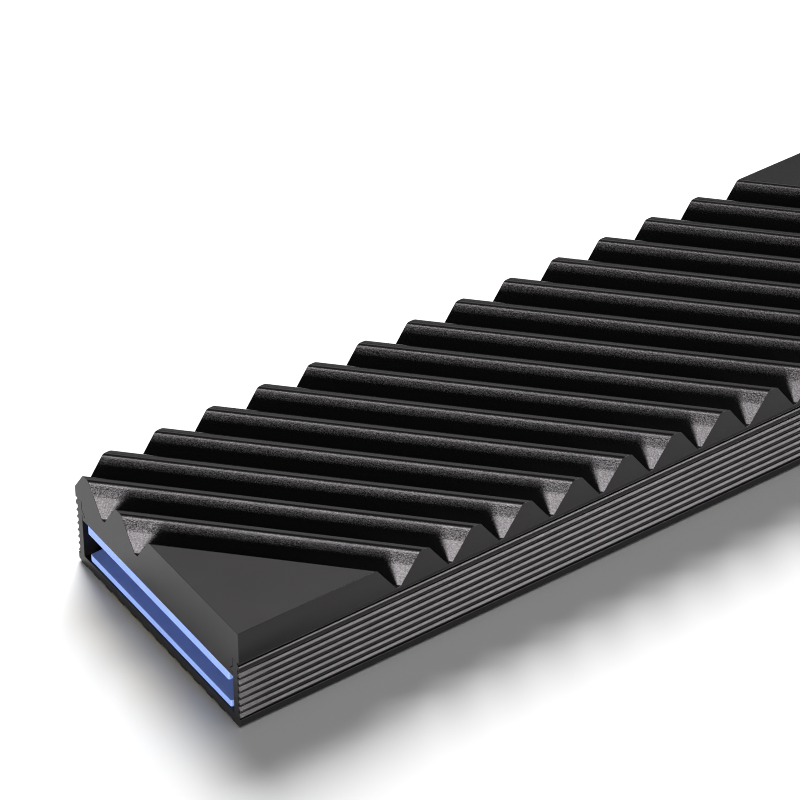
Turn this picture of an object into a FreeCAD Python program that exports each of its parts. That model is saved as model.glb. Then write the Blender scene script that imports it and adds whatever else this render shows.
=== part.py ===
# A heat sink that clamps round a slim drive board. A finned cover snaps into a ribbed tray, and a soft
# heat-conducting pad lies against each side of the space that the board takes.
#
# Sizes are in millimetres. X runs along the length, Y across and Z up. The origin is the middle of the
# footprint, on the surface that the tray's underside ribs stand on.

import FreeCAD, Part
import math
import os

# The board that the heat sink is made for
BOARD_WIDTH = 22.0
BOARD_STACK = 2.3
BOARD_SIDE_GAP = 0.2

# Outer size
LENGTH = 80.0
COVER_HEIGHT = 5.1

# Tray walls and floor
WALL = 0.9
FLOOR_WEB = 0.8
FOOT_RELIEF = 0.2
FOOT_PITCH = 1.88
FOOT_CROWN = 0.7
FOOT_FLANK = 0.22
BOTTOM_CHAMFER = 0.2
TOP_SLOPE_RISE = 0.13

# Ribs along the outside of the tray walls
BASE_BAND = 1.08
BASE_GROOVE = 0.16
RIB_PITCH = 0.713
RIB_LAND = 0.16
RIB_SLOPE_RUN = 0.12
RIB_SLOPE_RISE = 0.21
SLOT_DEPTH = 0.25

# The last stretch at both ends, where the ribs' slopes reach further down
END_BAND = 2.9
END_LAND = 0.03
END_SLOPE_RISE = 0.29

# Where the cover drops between the walls and snaps under their beads
REBATE_HEIGHT = 1.95
SEAM_GAP = 0.33
SEAM_DEPTH = 0.25
FIT_CLEARANCE = 0.03
LIP_HEIGHT = 0.5
BEAD_DEPTH = 0.35
BEAD_NOSE = 0.2

# Slanting fins on the cover, measured square to the fins
FIN_ANGLE = 45.0
FIN_PITCH = 3.5
FIN_TOP = 0.56
FIN_RIM_RADIUS = 0.28
GROOVE_DEPTH = 2.78
GROOVE_FLOOR = 0.3
GROOVE_FLOOR_RADIUS = 0.1
CORNER_FLAT = 8.8

# Heat-conducting pads
PAD_SIDE_INSET = 0.5
UPPER_PAD = 0.95
UPPER_PAD_INSET = 0.05
LOWER_PAD = 0.65
LOWER_PAD_INSET = 0.18
PAD_CORNER = 0.15

# Room that a cutter has beyond what it cuts
OVERCUT = 1.0

CAVITY_HALF = BOARD_WIDTH / 2 + BOARD_SIDE_GAP
HALF_WIDTH = CAVITY_HALF + WALL
FLOOR_TOP = FOOT_RELIEF + FLOOR_WEB
CAVITY_TOP = FLOOR_TOP + LOWER_PAD + BOARD_STACK + UPPER_PAD
SEAM_Z = CAVITY_TOP + REBATE_HEIGHT
WALL_TOP = SEAM_Z - SEAM_GAP
HEIGHT = CAVITY_TOP + COVER_HEIGHT
BEAD_Z = CAVITY_TOP + LIP_HEIGHT


def extrude_section(points, start, end):
    """Extrude a closed Y-Z outline along X from one place to the other."""
    corners = [FreeCAD.Vector(start, y, z) for y, z in points]
    wire = Part.makePolygon(corners + corners[:1])
    return Part.Face(wire).extrude(FreeCAD.Vector(end - start, 0, 0))


def mirrored(half):
    """Close an outline whose +Y half is given in order, by adding the same half on the -Y side."""
    return half + [(-y, z) for y, z in reversed(half)]


def underside_half():
    """The ribs under the tray, from the middle out to the edge of the +Y side."""
    reach = HALF_WIDTH - BOTTOM_CHAMFER
    foot = FOOT_CROWN / 2 + FOOT_FLANK
    pairs = max(0, int((reach - foot) / FOOT_PITCH))
    points = [(FOOT_CROWN / 2, 0.0), (foot, FOOT_RELIEF)]
    for pair in range(1, pairs + 1):
        middle = pair * FOOT_PITCH
        points.append((middle - foot, FOOT_RELIEF))
        points.append((middle - FOOT_CROWN / 2, 0.0))
        points.append((middle + FOOT_CROWN / 2, 0.0))
        points.append((middle + foot, FOOT_RELIEF))
    return points


def outer_wall(land, rise):
    """The outside of the +Y wall going up: a plain base band, the ribs, a top strip and the seam's rebate."""
    lean = RIB_SLOPE_RUN / RIB_SLOPE_RISE
    slot_wall = HALF_WIDTH - SLOT_DEPTH
    points = [
        (HALF_WIDTH - BOTTOM_CHAMFER, FOOT_RELIEF),
        (HALF_WIDTH, FOOT_RELIEF + BOTTOM_CHAMFER),
        (HALF_WIDTH, BASE_BAND - BASE_GROOVE),
        (slot_wall, BASE_BAND - BASE_GROOVE),
        (slot_wall, BASE_BAND),
        (HALF_WIDTH, BASE_BAND),
    ]
    ribs = int((WALL_TOP - TOP_SLOPE_RISE - BASE_BAND) / RIB_PITCH)
    for rib in range(ribs):
        low = BASE_BAND + rib * RIB_PITCH
        slope_top = low + land + rise
        points.append((HALF_WIDTH, low + land))
        points.append((HALF_WIDTH - rise * lean, slope_top))
        points.append((slot_wall, slope_top))
        points.append((slot_wall, low + RIB_PITCH))
        points.append((HALF_WIDTH, low + RIB_PITCH))
    points.append((HALF_WIDTH, WALL_TOP - TOP_SLOPE_RISE))
    points.append((HALF_WIDTH - TOP_SLOPE_RISE * lean, WALL_TOP))
    points.append((HALF_WIDTH - SEAM_DEPTH, WALL_TOP))
    points.append((HALF_WIDTH - SEAM_DEPTH, SEAM_Z))
    return points


def inner_wall():
    """The inside of the +Y wall going down, with the bead that holds the cover's lip."""
    nose = CAVITY_HALF - BEAD_DEPTH
    return [
        (CAVITY_HALF, SEAM_Z),
        (CAVITY_HALF, BEAD_Z + BEAD_NOSE + BEAD_DEPTH),
        (nose, BEAD_Z + BEAD_NOSE),
        (nose, BEAD_Z),
        (CAVITY_HALF, BEAD_Z),
        (CAVITY_HALF, FLOOR_TOP),
    ]


def tray_section(land, rise):
    """The whole outline of the tray, for ribs with that upright land and that height of slope."""
    return mirrored(underside_half() + outer_wall(land, rise) + inner_wall())


def base_tray():
    """An open channel with ribs outside both walls and under the floor."""
    end = LENGTH / 2
    band = end - END_BAND
    middle = extrude_section(tray_section(RIB_LAND, RIB_SLOPE_RISE), -band, band)
    end_section = tray_section(END_LAND, END_SLOPE_RISE)
    ends = [extrude_section(end_section, -end, -band), extrude_section(end_section, band, end)]
    return middle.fuse(ends).removeSplitter()


def cover_blank():
    """The cover before its fins are cut: full width above the walls, narrower between them."""
    side = CAVITY_HALF - FIT_CLEARANCE
    recess = CAVITY_HALF - BEAD_DEPTH - FIT_CLEARANCE
    slope_foot = BEAD_Z + BEAD_NOSE + FIT_CLEARANCE
    half = [
        (HALF_WIDTH, HEIGHT),
        (HALF_WIDTH, SEAM_Z),
        (side, SEAM_Z),
        (side, slope_foot + side - recess),
        (recess, slope_foot),
        (recess, BEAD_Z),
        (side, BEAD_Z),
        (side, CAVITY_TOP),
    ]
    return extrude_section(mirrored(half), -LENGTH / 2, LENGTH / 2)


def groove_section(middle, y):
    """The face of one groove, in the vertical plane square to the fins, with rims rounded to the fins."""
    half_floor = GROOVE_FLOOR / 2
    half_mouth = (FIN_PITCH - FIN_TOP) / 2
    turn = math.pi / 2 - math.atan2(half_mouth - half_floor, GROOVE_DEPTH)
    rim = half_mouth + FIN_RIM_RADIUS * math.tan(turn / 2)
    half = [(rim, HEIGHT + OVERCUT)]
    for angle in (0.0, turn / 2, turn):
        across = rim - FIN_RIM_RADIUS * math.sin(angle)
        half.append((across, HEIGHT - FIN_RIM_RADIUS * (1 - math.cos(angle))))
    half.append((half_floor, HEIGHT - GROOVE_DEPTH))
    left = [FreeCAD.Vector(middle - across, y, z) for across, z in half]
    right = [FreeCAD.Vector(middle + across, y, z) for across, z in half]
    edges = [
        Part.makeLine(left[0], left[1]),
        Part.Arc(left[1], left[2], left[3]).toShape(),
        Part.makeLine(left[3], left[4]),
        Part.makeLine(left[4], right[4]),
        Part.makeLine(right[4], right[3]),
        Part.Arc(right[3], right[2], right[1]).toShape(),
        Part.makeLine(right[1], right[0]),
        Part.makeLine(right[0], left[0]),
    ]
    return Part.Face(Part.Wire(edges))


def groove_cutter(middle, reach):
    """A bar with the groove's section, long enough to pass right over the cover."""
    bar = groove_section(middle, -reach).extrude(FreeCAD.Vector(0, 2 * reach, 0))
    mid_depth = HEIGHT - GROOVE_DEPTH / 2
    long_edges = [edge for edge in bar.Edges if edge.Length > reach]
    floor_edges = [edge for edge in long_edges if edge.BoundBox.ZMax < mid_depth]
    bar = bar.makeFillet(GROOVE_FLOOR_RADIUS, floor_edges)
    bar.rotate(FreeCAD.Vector(0, 0, 0), FreeCAD.Vector(0, 0, 1), FIN_ANGLE)
    return bar


def finned_cover():
    """The cover with its row of slanting fins, which leaves two flat corners."""
    angle = math.radians(FIN_ANGLE)
    span = LENGTH * math.cos(angle) + 2 * HALF_WIDTH * math.sin(angle)
    reach = LENGTH + 2 * HALF_WIDTH
    grooves = int((span - 2 * CORNER_FLAT + FIN_TOP) / FIN_PITCH)
    first = -(grooves - 1) * FIN_PITCH / 2
    cutters = [groove_cutter(first + index * FIN_PITCH, reach) for index in range(grooves)]
    cover = cover_blank()
    return cover.cut(cutters)


def pad(thickness, bottom, inset):
    """A flat pad with slightly rounded upright corners."""
    length = LENGTH - 2 * inset
    width = BOARD_WIDTH - 2 * PAD_SIDE_INSET
    block = Part.makeBox(length, width, thickness, FreeCAD.Vector(-length / 2, -width / 2, bottom))
    upright = [edge for edge in block.Edges if abs(edge.tangentAt(edge.FirstParameter).z) > 0.5]
    return block.makeFillet(PAD_CORNER, upright)


def main():
    """Build every piece and write each one to its own file."""
    pieces = {
        "base_tray": base_tray(),
        "finned_cover": finned_cover(),
        "lower_thermal_pad": pad(LOWER_PAD, FLOOR_TOP, LOWER_PAD_INSET),
        "upper_thermal_pad": pad(UPPER_PAD, CAVITY_TOP - UPPER_PAD, UPPER_PAD_INSET),
    }
    os.makedirs("parts", exist_ok=True)
    for name, shape in pieces.items():
        solids = shape.Solids
        if len(solids) == 1:
            shape = solids[0]
        print(name, len(solids), shape.isValid(), round(shape.Volume, 2), shape.optimalBoundingBox())
        shape.exportStep(f"parts/{name}.step")


main()
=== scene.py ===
import logging
import math
from dataclasses import dataclass, field
from enum import Enum
from typing import Any, Optional, Union

import bpy
from mathutils import Matrix, Vector


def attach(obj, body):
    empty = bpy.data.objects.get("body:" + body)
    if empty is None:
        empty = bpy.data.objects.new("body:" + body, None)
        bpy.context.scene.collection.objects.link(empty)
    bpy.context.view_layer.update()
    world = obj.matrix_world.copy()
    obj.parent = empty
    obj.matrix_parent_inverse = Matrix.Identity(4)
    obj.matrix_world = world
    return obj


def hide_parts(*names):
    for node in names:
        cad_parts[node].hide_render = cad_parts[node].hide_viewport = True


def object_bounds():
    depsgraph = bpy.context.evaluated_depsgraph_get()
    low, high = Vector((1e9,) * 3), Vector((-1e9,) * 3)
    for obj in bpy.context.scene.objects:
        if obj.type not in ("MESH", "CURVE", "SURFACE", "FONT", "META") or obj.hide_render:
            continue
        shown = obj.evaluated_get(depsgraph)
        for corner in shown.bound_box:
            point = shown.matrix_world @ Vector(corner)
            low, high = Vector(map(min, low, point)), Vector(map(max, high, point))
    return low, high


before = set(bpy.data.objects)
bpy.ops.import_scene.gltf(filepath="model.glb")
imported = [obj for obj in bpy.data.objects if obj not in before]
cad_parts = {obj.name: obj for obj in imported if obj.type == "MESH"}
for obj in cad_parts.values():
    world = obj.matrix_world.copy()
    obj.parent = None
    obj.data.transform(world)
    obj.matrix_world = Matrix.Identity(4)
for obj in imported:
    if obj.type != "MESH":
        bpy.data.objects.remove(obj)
cad_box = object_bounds()

# The frame is in metres; a size in millimetres times MM is in metres
MM = 0.001
# Power in watts of a rectangular lamp, for each square metre and each unit of brightness
LAMP_WATTS = 4.0

Colour = tuple[float, float, float]
Span = tuple[float, float]
Point = tuple[float, float]

log = logging.getLogger("heat_sink")


class Operation(Enum):
    """What a Math node does with its values."""

    ADD = "ADD"
    SUBTRACT = "SUBTRACT"
    MULTIPLY = "MULTIPLY"
    ABSOLUTE = "ABSOLUTE"
    GREATER = "GREATER_THAN"
    LESS = "LESS_THAN"
    MAXIMUM = "MAXIMUM"


class Lit(Enum):
    """What a lamp shines on."""

    PART = "the heat sink"
    FLOOR = "the floor"


class Wire:
    """One output socket of a shader. Arithmetic on it adds the Math nodes that are needed."""

    def __init__(self, shader: "Shader", socket: bpy.types.NodeSocket) -> None:
        """Keep the socket and the shader that it belongs to."""
        self.shader = shader
        self.socket = socket

    def __add__(self, other: "Value") -> "Wire":
        """Sum of two values."""
        return self.shader.math(Operation.ADD, self, other)

    def __radd__(self, other: "Value") -> "Wire":
        """Sum of two values."""
        return self.shader.math(Operation.ADD, other, self)

    def __sub__(self, other: "Value") -> "Wire":
        """This value less the other."""
        return self.shader.math(Operation.SUBTRACT, self, other)

    def __rsub__(self, other: "Value") -> "Wire":
        """The other value less this one."""
        return self.shader.math(Operation.SUBTRACT, other, self)

    def __mul__(self, other: "Value") -> "Wire":
        """Product of two values."""
        return self.shader.math(Operation.MULTIPLY, self, other)

    def __rmul__(self, other: "Value") -> "Wire":
        """Product of two values."""
        return self.shader.math(Operation.MULTIPLY, other, self)

    def __abs__(self) -> "Wire":
        """Size of the value without its sign."""
        return self.shader.math(Operation.ABSOLUTE, self)

    def __gt__(self, other: "Value") -> "Wire":
        """1 where this value is greater, and 0 elsewhere."""
        return self.shader.math(Operation.GREATER, self, other)

    def __lt__(self, other: "Value") -> "Wire":
        """1 where this value is smaller, and 0 elsewhere."""
        return self.shader.math(Operation.LESS, self, other)

    def __or__(self, other: "Value") -> "Wire":
        """The greater of two masks."""
        return self.shader.math(Operation.MAXIMUM, self, other)

    def ramp(self, low: float, high: float) -> "Wire":
        """Rise smoothly from 0 to 1 between two values.

        Args:
            low: value where the result is 0.
            high: value where the result is 1.

        Returns:
            The eased result.
        """
        settings = {"interpolation_type": "SMOOTHSTEP"}
        inputs = {"Value": self, "From Min": low, "From Max": high}
        return self.shader.node("ShaderNodeMapRange", settings, inputs)


Value = Union[float, Wire]


@dataclass(frozen=True)
class Cloud:
    """A cloudy pattern: the width of one blotch in metres, the number of finer layers and their strength."""

    size: float
    layers: float = 2.0
    strength: float = 0.5


class Shader:
    """A material's node tree, built from expressions."""

    def __init__(self, name: str) -> None:
        """Make an empty material.

        Args:
            name: the material's name.
        """
        self.material = bpy.data.materials.new(name)
        self.material.use_nodes = True
        self.tree = self.material.node_tree
        self.tree.nodes.clear()

    def node(
        self,
        kind: str,
        settings: Optional[dict[str, Any]] = None,
        inputs: Optional[dict[Union[str, int], Any]] = None,
        output: Union[str, int] = 0,
    ) -> Wire:
        """Add one node.

        Args:
            kind: the node's type.
            settings: properties that are set before any socket is used.
            inputs: values, or wires to link, by the input's name or number.
            output: name or number of the output that is handed back.

        Returns:
            The chosen output.
        """
        made = self.tree.nodes.new(kind)
        for name, value in (settings or {}).items():
            setattr(made, name, value)
        for name, value in (inputs or {}).items():
            socket = made.inputs[name]
            if isinstance(value, Wire):
                self.tree.links.new(value.socket, socket)
            else:
                socket.default_value = value
        return Wire(self, made.outputs[output])

    def math(self, operation: Operation, first: Value, second: Value = 0.0) -> Wire:
        """Add one Math node on two values."""
        return self.node("ShaderNodeMath", {"operation": operation.value}, {0: first, 1: second})

    def place(self) -> Wire:
        """The place on the object, in metres."""
        return self.node("ShaderNodeTexCoord", output="Object")

    def stretched(self, place: Wire, scale: tuple[float, float, float]) -> Wire:
        """Scale a place by a different amount along each axis."""
        return self.node("ShaderNodeVectorMath", {"operation": "MULTIPLY"}, {0: place, 1: scale})

    def facing(self) -> tuple[Wire, Wire, Wire]:
        """The three parts of the flat face's own direction."""
        return self.parts(self.node("ShaderNodeNewGeometry", output="True Normal"))

    def parts(self, vector: Wire) -> tuple[Wire, Wire, Wire]:
        """Split a vector.

        Args:
            vector: the wire with the vector.

        Returns:
            Its X, Y and Z parts.
        """
        first = self.node("ShaderNodeSeparateXYZ", None, {0: vector})
        outputs = first.socket.node.outputs
        return first, Wire(self, outputs[1]), Wire(self, outputs[2])

    def noise(self, place: Wire, cloud: Cloud) -> Wire:
        """Cloudy noise from 0 to 1.

        Args:
            place: where it is looked up.
            cloud: the pattern's size and layers.

        Returns:
            The noise.
        """
        inputs = {
            "Vector": place,
            "Scale": 1.0 / cloud.size,
            "Detail": cloud.layers,
            "Roughness": cloud.strength,
        }
        return self.node("ShaderNodeTexNoise", None, inputs, "Fac")

    def pits(self, place: Wire, size: float, softness: float) -> Wire:
        """Distance to the nearest of a scatter of points.

        Args:
            place: where it is looked up.
            size: usual distance between two points, in metres.
            softness: how much neighbouring pits melt into each other.

        Returns:
            0 at a point and near 1 between the points.
        """
        inputs = {"Vector": place, "Scale": 1.0 / size, "Smoothness": softness}
        return self.node("ShaderNodeTexVoronoi", {"feature": "SMOOTH_F1"}, inputs, "Distance")

    def blend(self, share: Value, first: Any, second: Any) -> Wire:
        """Mix two colours.

        Args:
            share: 0 for the first colour and 1 for the second.
            first: colour, or a wire with one.
            second: colour, or a wire with one.

        Returns:
            The mixed colour.
        """
        settings = {"data_type": "RGBA"}
        return self.node("ShaderNodeMix", settings, {0: share, 6: first, 7: second}, 2)

    def bump(self, height: Wire, depth: float) -> Wire:
        """Turn heights from 0 to 1 into a relief that is so many metres deep."""
        inputs = {"Height": height, "Distance": depth, "Strength": 1.0}
        return self.node("ShaderNodeBump", None, inputs, "Normal")

    def skin(self, **inputs: Any) -> Wire:
        """Add one principled surface.

        Args:
            inputs: values or wires by socket name, with an underscore for each space.

        Returns:
            The surface, ready to be mixed or closed.
        """
        named = {name.replace("_", " "): value for name, value in inputs.items()}
        named = {name.replace("Ior", "IOR"): value for name, value in named.items()}
        return self.node("ShaderNodeBsdfPrincipled", None, named)

    def mixed(self, share: Wire, first: Wire, second: Wire) -> Wire:
        """Lay two surfaces over each other.

        Args:
            share: mask, 0 for the first surface and 1 for the second.
            first: a surface.
            second: the other surface.

        Returns:
            The mixed surface.
        """
        return self.node("ShaderNodeMixShader", None, {0: share, 1: first, 2: second})

    def close(self, skin: Wire) -> bpy.types.Material:
        """Send a surface to the material's output.

        Args:
            skin: the surface.

        Returns:
            The finished material.
        """
        final = self.tree.nodes.new("ShaderNodeOutputMaterial")
        self.tree.links.new(skin.socket, final.inputs["Surface"])
        return self.material


def opaque(colour: Colour) -> tuple[float, float, float, float]:
    """The colour with full cover."""
    return (*colour, 1.0)


def direction(azimuth: float, elevation: float) -> Vector:
    """Turn two angles in degrees into a direction.

    Args:
        azimuth: angle from +X towards +Y.
        elevation: angle above the floor.

    Returns:
        A vector with a length of 1.
    """
    turn, rise = math.radians(azimuth), math.radians(elevation)
    level = math.cos(rise)
    return Vector((level * math.cos(turn), level * math.sin(turn), math.sin(rise)))


@dataclass(frozen=True)
class Anodised:
    """Black anodised aluminium with two surfaces: smooth satin, and grainy where a tool has cut it."""

    black: Colour = (0.0050, 0.0046, 0.0048)
    sheen_tint: Colour = (1.0, 0.945, 0.985)
    blotches: Cloud = Cloud(3.0 * MM, 3.0, 0.55)
    blotch_gloss: float = 0.06
    satin_roughness: float = 0.30
    satin_index: float = 1.37
    lines: Cloud = Cloud(0.05 * MM)
    line_stretch: tuple[float, float, float] = (0.02, 1.0, 1.0)
    line_depth: float = 0.0012 * MM
    grainy_roughness: float = 0.40
    grainy_index: float = 1.455
    grain: Cloud = Cloud(0.15 * MM, 1.5)
    grain_stretch: tuple[float, float, float] = (1.0, 1.0, 1.4)
    grain_gloss: float = 0.22
    grain_depth: float = 0.019 * MM
    grain_share: float = 0.7
    pit_share: float = 0.3
    pit_ratio: float = 1.3
    pit_softness: float = 0.6

    def satin_skin(self, shader: Shader, place: Wire, blotch: Wire) -> Wire:
        """Make the smooth surface, with fine drawing lines along the length.

        Args:
            shader: the material's nodes.
            place: the place on the object.
            blotch: slow change of the gloss, from 0 to 1.

        Returns:
            The surface.
        """
        lines = shader.noise(shader.stretched(place, self.line_stretch), self.lines)
        return shader.skin(
            Base_Color=opaque(self.black),
            Roughness=self.satin_roughness + (blotch - 0.5) * self.blotch_gloss,
            Ior=self.satin_index,
            Specular_Tint=opaque(self.sheen_tint),
            Normal=shader.bump(lines, self.line_depth),
        )

    def grainy_skin(self, shader: Shader, place: Wire, blotch: Wire) -> Wire:
        """Make the cut surface, with a leathery grain.

        Args:
            shader: the material's nodes.
            place: the place on the object.
            blotch: slow change of the gloss, from 0 to 1.

        Returns:
            The surface.
        """
        flattened = shader.stretched(place, self.grain_stretch)
        grain = shader.noise(flattened, self.grain)
        pits = shader.pits(flattened, self.grain.size * self.pit_ratio, self.pit_softness)
        relief = (grain * self.grain_share + pits * self.pit_share) * self.relief(shader, place)
        gloss = (blotch - 0.5) * self.blotch_gloss + (grain - 0.5) * self.grain_gloss
        return shader.skin(
            Base_Color=opaque(self.black),
            Roughness=self.grainy_roughness + gloss,
            Ior=self.grainy_index,
            Specular_Tint=opaque(self.sheen_tint),
            Normal=shader.bump(relief, self.grain_depth),
        )

    def relief(self, shader: Shader, place: Wire) -> Value:
        """How many times deeper the grain is at a place: here the same all over."""
        return 1.0

    def cut_mask(self, shader: Shader, place: Wire) -> Wire:
        """1 where the surface is grainy, and 0 where it is satin."""
        raise NotImplementedError

    def with_painted_shade(self, shader: Shader, place: Wire, metal: Wire) -> Wire:
        """Paint shade where the surface lies deep: here no shade is painted, and the metal stays as it is.
        """
        return metal

    def make(self, name: str) -> bpy.types.Material:
        """Make the material.

        Args:
            name: the material's name.

        Returns:
            The finished material.
        """
        shader = Shader(name)
        place = shader.place()
        blotch = shader.noise(place, self.blotches)
        satin = self.satin_skin(shader, place, blotch)
        grainy = self.grainy_skin(shader, place, blotch)
        metal = shader.mixed(self.cut_mask(shader, place), satin, grainy)
        return shader.close(self.with_painted_shade(shader, place, metal))


@dataclass(frozen=True)
class AnodisedCover(Anodised):
    """The cover's finish: grainy inside the grooves, and more deeply so in a band under the fins' rims."""

    slant_limit: float = 0.22
    flat_limit: float = 0.5
    crest_height: float = 9.9 * MM
    band_bottom: Span = (8.7 * MM, 9.1 * MM)
    band_top: Span = (9.45 * MM, 9.8 * MM)
    band_gain: float = 3.4

    def relief(self, shader: Shader, place: Wire) -> Value:
        """Deepen the grain in the band.

        Args:
            shader: the material's nodes.
            place: the place on the object.

        Returns:
            How many times deeper the grain is.
        """
        height = shader.parts(place)[2]
        band = height.ramp(*self.band_bottom) * (1.0 - height.ramp(*self.band_top))
        return 1.0 + band * self.band_gain

    def cut_mask(self, shader: Shader, place: Wire) -> Wire:
        """Find the flanks and floors of the grooves.

        Args:
            shader: the material's nodes.
            place: the place on the object.

        Returns:
            1 inside the grooves, and 0 on the outer faces.
        """
        lengthwise, sideways, upward = shader.facing()
        slanting = abs(lengthwise * sideways) > self.slant_limit
        floor = (upward > self.flat_limit) * (shader.parts(place)[2] < self.crest_height)
        return slanting | floor


@dataclass(frozen=True)
class AnodisedTray(Anodised):
    """The tray's finish: lightly grainy on the slopes of its ribs, with painted shade, a darker and duller
    black, in the slots between them.
    """

    grain: Cloud = Cloud(0.13 * MM, 1.5)
    grain_depth: float = 0.012 * MM
    slope_facing: Span = (0.3, 0.9)
    # painted shade: the darker black that stands in for the shade in the slots between the ribs
    painted_slot_shade: Colour = (0.003, 0.0028, 0.0029)
    slot_roughness: float = 0.6
    slot_index: float = 1.2
    slot_reach: Span = (11.5 * MM, 11.96 * MM)
    slot_bottom: float = 1.0 * MM
    end_limit: float = 0.5

    def cut_mask(self, shader: Shader, place: Wire) -> Wire:
        """1 on the slopes of the ribs, and 0 elsewhere."""
        upward = shader.facing()[2]
        return (upward > self.slope_facing[0]) * (upward < self.slope_facing[1])

    def with_painted_shade(self, shader: Shader, place: Wire, metal: Wire) -> Wire:
        """Paint shade into the slots between the ribs: a darker and duller black that stands in for the
        shade there.

        Args:
            shader: the material's nodes.
            place: the place on the object.
            metal: the surface elsewhere.

        Returns:
            Both surfaces, mixed by where the slots are.
        """
        endways = shader.facing()[0]
        sideways, height = shader.parts(place)[1:]
        inner, outer = self.slot_reach
        # the mask where shade is painted: the slots between the ribs
        deep = (abs(sideways) > inner) * (abs(sideways) < outer) * (height > self.slot_bottom)
        deep = deep * (abs(endways) < self.end_limit) * (1.0 - self.cut_mask(shader, place))
        # the painted shade itself: a darker, less glossy black
        painted_shade_skin = shader.skin(
            Base_Color=opaque(self.painted_slot_shade), Roughness=self.slot_roughness, Ior=self.slot_index
        )
        return shader.mixed(deep, metal, painted_shade_skin)


@dataclass(frozen=True)
class SiliconePad:
    """Soft blue heat-conducting silicone with a fine speckle."""

    blue: Colour = (0.246, 0.362, 0.775)
    deep_blue: Colour = (0.207, 0.307, 0.680)
    roughness: float = 0.62
    specks: Cloud = Cloud(0.10 * MM, 3.0, 0.6)
    speck_depth: float = 0.006 * MM
    speck_share: float = 0.6
    clouds: Cloud = Cloud(1.6 * MM)
    cloud_share: float = 0.4
    cloud_gloss: float = 0.1
    contrast: Span = (0.35, 0.65)

    def make(self, name: str) -> bpy.types.Material:
        """Make the material.

        Args:
            name: the material's name.

        Returns:
            The finished material.
        """
        shader = Shader(name)
        place = shader.place()
        specks = shader.noise(place, self.specks)
        clouds = shader.noise(place, self.clouds)
        share = (specks * self.speck_share + clouds * self.cloud_share).ramp(*self.contrast)
        tone = shader.blend(share, opaque(self.deep_blue), opaque(self.blue))
        normal = shader.bump(specks, self.speck_depth)
        roughness = self.roughness + (clouds - 0.5) * self.cloud_gloss
        return shader.close(shader.skin(Base_Color=tone, Roughness=roughness, Normal=normal))


@dataclass(frozen=True)
class PaleFloor:
    """A matte, nearly white studio table.

    Beside the lit end a warmer colour is painted on it, to cancel the blue light that the pads throw there.
    """

    white: Colour = (0.86, 0.86, 0.86)
    # painted colour that cancels the blue light thrown by the pads beside the lit end
    painted_warm: Colour = (0.86, 0.802, 0.655)
    roughness: float = 0.9
    end: float = cad_box[1][0]
    under_end: float = 3.2 * MM
    full_under_end: float = 1.6 * MM
    reach: float = 8.0 * MM
    half_width: float = 4.0 * MM
    side_fade: float = 8.0 * MM

    def painted_warmth(self, shader: Shader) -> Wire:
        """Find where the warmer colour is painted, on the floor beside the lit end.

        Args:
            shader: the material's nodes.

        Returns:
            1 against the middle of the end, and 0 away from it.
        """
        lengthwise, sideways = shader.parts(shader.place())[:2]
        outward = 0.0 - lengthwise
        outside = outward.ramp(self.end - self.under_end, self.end)
        near = 1.0 - outward.ramp(self.end - self.full_under_end, self.end + self.reach)
        middle = 1.0 - abs(sideways).ramp(self.half_width, self.half_width + self.side_fade)
        return outside * near * middle

    def make(self, name: str) -> bpy.types.Material:
        """Make the material.

        Args:
            name: the material's name.

        Returns:
            The finished material.
        """
        shader = Shader(name)
        tone = shader.blend(self.painted_warmth(shader), opaque(self.white), opaque(self.painted_warm))
        return shader.close(shader.skin(Base_Color=tone, Roughness=self.roughness))


@dataclass(frozen=True)
class SoftEdges:
    """The very small radius on a metal or silicone piece's sharp edges."""

    radius: float = 0.03 * MM
    steps: int = 2
    sharper_than: float = 40.0
    weld_distance: float = 0.0005 * MM
    flatter_than: float = 0.2

    def soften(self, piece: bpy.types.Object) -> None:
        """Join the piece's flat faces and round its sharp edges.

        Args:
            piece: the piece that gets the modifiers.
        """
        weld = piece.modifiers.new("weld", "WELD")
        weld.merge_threshold = self.weld_distance
        flat = piece.modifiers.new("flat_faces", "DECIMATE")
        flat.decimate_type = "DISSOLVE"
        flat.angle_limit = math.radians(self.flatter_than)
        edge = piece.modifiers.new("edges", "BEVEL")
        edge.width = self.radius
        edge.segments = self.steps
        edge.limit_method = "ANGLE"
        edge.angle_limit = math.radians(self.sharper_than)
        edge.harden_normals = False

    def dress(self, piece: bpy.types.Object, material: bpy.types.Material) -> bpy.types.Object:
        """Give a piece its finish and its edges.

        Args:
            piece: the piece to dress.
            material: its finish.

        Returns:
            The piece.
        """
        for material_slot in piece.material_slots:
            material_slot.material = material
        self.soften(piece)
        return piece


@dataclass
class FinnedCover:
    """The cover with its slanting fins, in the shape of the CAD model."""

    node: str = "finned_cover"
    finish: AnodisedCover = AnodisedCover()
    edges: SoftEdges = SoftEdges()

    def build(self) -> list[bpy.types.Object]:
        """Dress the cover and hand it back in a list."""
        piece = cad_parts[self.node]
        return [self.edges.dress(piece, self.finish.make("cover_anodised"))]


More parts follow.
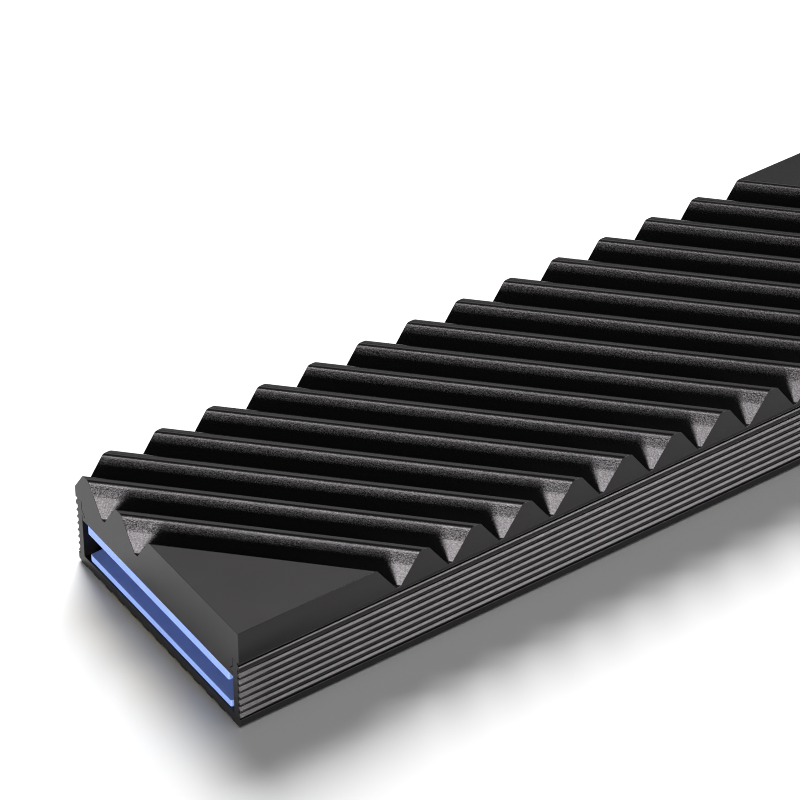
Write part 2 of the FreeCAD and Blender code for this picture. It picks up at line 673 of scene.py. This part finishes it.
@dataclass
class RibbedTray:
    """The tray, drawn again so that the slopes of its side ribs taper towards both ends.

    Its sizes are in millimetres, and are the CAD model's but for the taper and the smaller bottom corner.
    """

    node: str = "base_tray"
    finish: AnodisedTray = AnodisedTray()
    edges: SoftEdges = SoftEdges()
    half_length: float = cad_box[1][0] / MM
    half_width: float = cad_box[1][1] / MM
    wall: float = 0.9
    floor_web: float = 0.8
    channel_height: float = 3.9
    corner: float = 0.08
    foot_relief: float = 0.2
    foot_pitch: float = 1.88
    foot_crown: float = 0.7
    foot_flank: float = 0.22
    base_band: float = 1.08
    base_groove: float = 0.16
    rib_pitch: float = 0.713
    land: float = 0.16
    slope_rise: float = 0.21
    slope_run: float = 0.12
    slot_depth: float = 0.25
    taper: float = 2.9
    end_land: float = 0.04
    top_slope: float = 0.13
    rebate_height: float = 1.95
    seam_gap: float = 0.33
    seam_depth: float = 0.25
    lip_height: float = 0.5
    bead_nose: float = 0.2
    bead_depth: float = 0.35

    @property
    def channel_half(self) -> float:
        """Half the width between the walls."""
        return self.half_width - self.wall

    @property
    def floor_top(self) -> float:
        """Height of the channel's floor."""
        return self.foot_relief + self.floor_web

    @property
    def bead_height(self) -> float:
        """Height of the bead's underside."""
        return self.floor_top + self.channel_height + self.lip_height

    @property
    def seam_height(self) -> float:
        """Height where the cover rests on the wall."""
        return self.floor_top + self.channel_height + self.rebate_height

    @property
    def wall_top(self) -> float:
        """Height of the wall's outer strip, under the seam's gap."""
        return self.seam_height - self.seam_gap

    def underside(self) -> list[Point]:
        """Draw the feet under the floor.

        Returns:
            The corners, from the middle out to the +Y side.
        """
        crown = self.foot_crown / 2
        foot = crown + self.foot_flank
        pairs = int((self.half_width - self.corner - foot) / self.foot_pitch)
        points = [(crown, 0.0), (foot, self.foot_relief)]
        for pair in range(1, pairs + 1):
            middle = pair * self.foot_pitch
            points.append((middle - foot, self.foot_relief))
            points.append((middle - crown, 0.0))
            points.append((middle + crown, 0.0))
            points.append((middle + foot, self.foot_relief))
        return points

    def outside(self, land: float) -> list[Point]:
        """Draw the outer face of the +Y wall going up.

        Args:
            land: height of the upright part of each rib.

        Returns:
            The corners, from the bottom corner to the seam.
        """
        side, slot = self.half_width, self.half_width - self.slot_depth
        lean = self.slope_run / self.slope_rise
        reach = self.land + self.slope_rise
        points = [
            (side - self.corner, self.foot_relief),
            (side, self.foot_relief + self.corner),
            (side, self.base_band - self.base_groove),
            (slot, self.base_band - self.base_groove),
            (slot, self.base_band),
            (side, self.base_band),
        ]
        ribs = int((self.wall_top - self.top_slope - self.base_band) / self.rib_pitch)
        for rib in range(ribs):
            low = self.base_band + rib * self.rib_pitch
            points.append((side, low + land))
            points.append((side - (reach - land) * lean, low + reach))
            points.append((slot, low + reach))
            points.append((slot, low + self.rib_pitch))
            points.append((side, low + self.rib_pitch))
        points.append((side, self.wall_top - self.top_slope))
        points.append((side - self.top_slope * lean, self.wall_top))
        points.append((side - self.seam_depth, self.wall_top))
        points.append((side - self.seam_depth, self.seam_height))
        return points

    def inside(self) -> list[Point]:
        """Draw the inner face of the +Y wall going down, with the bead over the cover's lip.

        Returns:
            The corners, from the seam to the floor.
        """
        nose = self.channel_half - self.bead_depth
        return [
            (self.channel_half, self.seam_height),
            (self.channel_half, self.bead_height + self.bead_nose + self.bead_depth),
            (nose, self.bead_height + self.bead_nose),
            (nose, self.bead_height),
            (self.channel_half, self.bead_height),
            (self.channel_half, self.floor_top),
        ]

    def ring(self, along: float, land: float) -> list[tuple[float, float, float]]:
        """Draw the tray's whole outline at one place along its length.

        Args:
            along: the place.
            land: height of the upright part of each rib there.

        Returns:
            The corners in metres.
        """
        half = self.underside() + self.outside(land) + self.inside()
        outline = half + [(-across, height) for across, height in reversed(half)]
        return [(along * MM, across * MM, height * MM) for across, height in outline]

    def shape(self) -> bpy.types.Mesh:
        """Join the outlines at both ends and where the tapers start.

        Returns:
            The tray's mesh, with one empty material slot.
        """
        inner = self.half_length - self.taper
        rings = [
            self.ring(-self.half_length, self.end_land),
            self.ring(-inner, self.land),
            self.ring(inner, self.land),
            self.ring(self.half_length, self.end_land),
        ]
        count, last = len(rings[0]), len(rings) - 1
        faces = [tuple(reversed(range(count))), tuple(range(last * count, (last + 1) * count))]
        for ring in range(last):
            for corner in range(count):
                first = ring * count + corner
                second = ring * count + (corner + 1) % count
                faces.append((first, second, second + count, first + count))
        mesh = bpy.data.meshes.new("ribbed_tray")
        mesh.from_pydata([corner for ring in rings for corner in ring], [], faces)
        mesh.materials.append(None)
        return mesh

    def build(self) -> list[bpy.types.Object]:
        """Put the tray in the place of its CAD node and dress it.

        Returns:
            The tray in a list.
        """
        piece = bpy.data.objects.new("ribbed_tray", self.shape())
        bpy.context.scene.collection.objects.link(piece)
        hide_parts(self.node)
        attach(piece, "root")
        return [self.edges.dress(piece, self.finish.make("tray_anodised"))]


@dataclass
class ThermalPads:
    """The silicone pads on both sides of the board's space, in the shape of the CAD model."""

    nodes: tuple[str, ...] = ("lower_thermal_pad", "upper_thermal_pad")
    finish: SiliconePad = SiliconePad()
    edges: SoftEdges = SoftEdges()

    def build(self) -> list[bpy.types.Object]:
        """Dress both pads with one finish and hand them back."""
        silicone = self.finish.make("pad_silicone")
        return [self.edges.dress(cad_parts[node], silicone) for node in self.nodes]


@dataclass
class Softbox:
    """A rectangular lamp that shines at the middle of the heat sink from a direction and a distance."""

    name: str
    lit: Lit
    azimuth: float
    elevation: float
    width: float
    height: float
    radiance: float
    distance: float = 0.6
    aim: Vector = field(default_factory=lambda: (cad_box[0] + cad_box[1]) / 2)

    def build(self, receivers: tuple[bpy.types.Object, ...]) -> bpy.types.Object:
        """Make the lamp.

        Args:
            receivers: the objects that it lights.

        Returns:
            The lamp.
        """
        away = direction(self.azimuth, self.elevation)
        lamp = bpy.data.lights.new(self.name, "AREA")
        lamp.shape = "RECTANGLE"
        lamp.size = self.width
        lamp.size_y = self.height
        lamp.energy = self.radiance * LAMP_WATTS * self.width * self.height
        box = bpy.data.objects.new(self.name, lamp)
        box.location = self.aim + away * self.distance
        box.rotation_euler = away.to_track_quat("Z", "Y").to_euler()
        box.visible_camera = False
        bpy.context.scene.collection.objects.link(box)
        lit = bpy.data.collections.new(f"{self.name}_lights")
        for receiver in receivers:
            lit.objects.link(receiver)
        box.light_linking.receiver_collection = lit
        log.info("lamp %s shines on %s", self.name, self.lit.value)
        return box


@dataclass
class Viewpoint:
    """The camera, where it stands and which way it looks, with its angles in degrees."""

    place: Vector = field(default_factory=lambda: Vector((-0.17399, -0.23032, 0.24493)))
    heading: float = 55.6447
    downward: float = 39.6241
    roll: float = -0.1962
    lens: float = 203.59
    sensor: float = 36.0
    shift_right: float = -0.00036
    shift_up: float = 0.0015
    nearest: float = 0.01
    farthest: float = 20.0

    def build(self) -> bpy.types.Object:
        """Make the camera and look through it.

        Returns:
            The camera.
        """
        ahead = direction(self.heading, -self.downward)
        level = ahead.cross(Vector((0.0, 0.0, 1.0))).normalized()
        right = Matrix.Rotation(-math.radians(self.roll), 3, ahead) @ level
        up = right.cross(ahead)
        lens = bpy.data.cameras.new("camera")
        lens.lens = self.lens
        lens.sensor_width = self.sensor
        lens.shift_x = self.shift_right
        lens.shift_y = self.shift_up
        lens.clip_start = self.nearest
        lens.clip_end = self.farthest
        camera = bpy.data.objects.new("camera", lens)
        turned = Matrix((right, up, -ahead)).transposed()
        camera.matrix_world = Matrix.Translation(self.place) @ turned.to_4x4()
        bpy.context.scene.collection.objects.link(camera)
        bpy.context.scene.camera = camera
        return camera


@dataclass
class Studio:
    """The floor, the lamps and the light all round the pieces."""

    pieces: tuple[bpy.types.Object, ...]
    floor_half: float = 3.0
    ambient: float = 0.03
    tone: str = "Standard"
    filter_width: float = 1.0
    lamps: tuple[Softbox, ...] = (
        Softbox("key_low_left", Lit.PART, -144.0, 3.5, 0.16, 0.0734, 65.0),
        Softbox("key_tail", Lit.PART, -144.0, 12.8, 0.16, 0.12, 21.5),
        Softbox("rib_low_right", Lit.PART, -63.5, 11.0, 0.14, 0.16, 29.0),
        Softbox("back_panel", Lit.PART, 67.0, 57.0, 0.60, 0.40, 2.0),
        Softbox("floor_light", Lit.FLOOR, 64.5, 47.5, 0.32, 0.32, 14.5),
        Softbox("floor_fill", Lit.FLOOR, -100.0, 72.0, 0.50, 0.50, 1.02),
    )

    def floor(self) -> bpy.types.Object:
        """Lay the floor that the heat sink stands on.

        Returns:
            The floor.
        """
        half = self.floor_half
        corners = [(-half, -half, 0.0), (half, -half, 0.0), (half, half, 0.0), (-half, half, 0.0)]
        mesh = bpy.data.meshes.new("floor")
        mesh.from_pydata(corners, [], [(0, 1, 2, 3)])
        mesh.materials.append(PaleFloor().make("studio_floor"))
        ground = bpy.data.objects.new("floor", mesh)
        bpy.context.scene.collection.objects.link(ground)
        return ground

    def surroundings(self) -> None:
        """Set the even light all round and how light becomes colour."""
        world = bpy.data.worlds.new("surroundings")
        world.use_nodes = True
        sky = world.node_tree.nodes["Background"]
        sky.inputs["Color"].default_value = opaque((1.0, 1.0, 1.0))
        sky.inputs["Strength"].default_value = self.ambient
        scene = bpy.context.scene
        scene.world = world
        scene.view_settings.view_transform = self.tone
        scene.view_settings.look = "None"
        scene.cycles.filter_width = self.filter_width

    def build(self) -> None:
        """Set the studio up."""
        receivers = {Lit.PART: self.pieces, Lit.FLOOR: (self.floor(),)}
        self.surroundings()
        for lamp in self.lamps:
            lamp.build(receivers[lamp.lit])


def main() -> None:
    """Dress the pieces, light them and set the camera."""
    logging.basicConfig(level=logging.INFO, format="%(name)s: %(message)s")
    pieces = []
    for assembly in (FinnedCover(), RibbedTray(), ThermalPads()):
        for piece in assembly.build():
            log.info("%s wears %s", piece.name, piece.material_slots[0].material.name)
            pieces.append(piece)
    Studio(tuple(pieces)).build()
    Viewpoint().build()


if __name__ == "__main__":
    main()
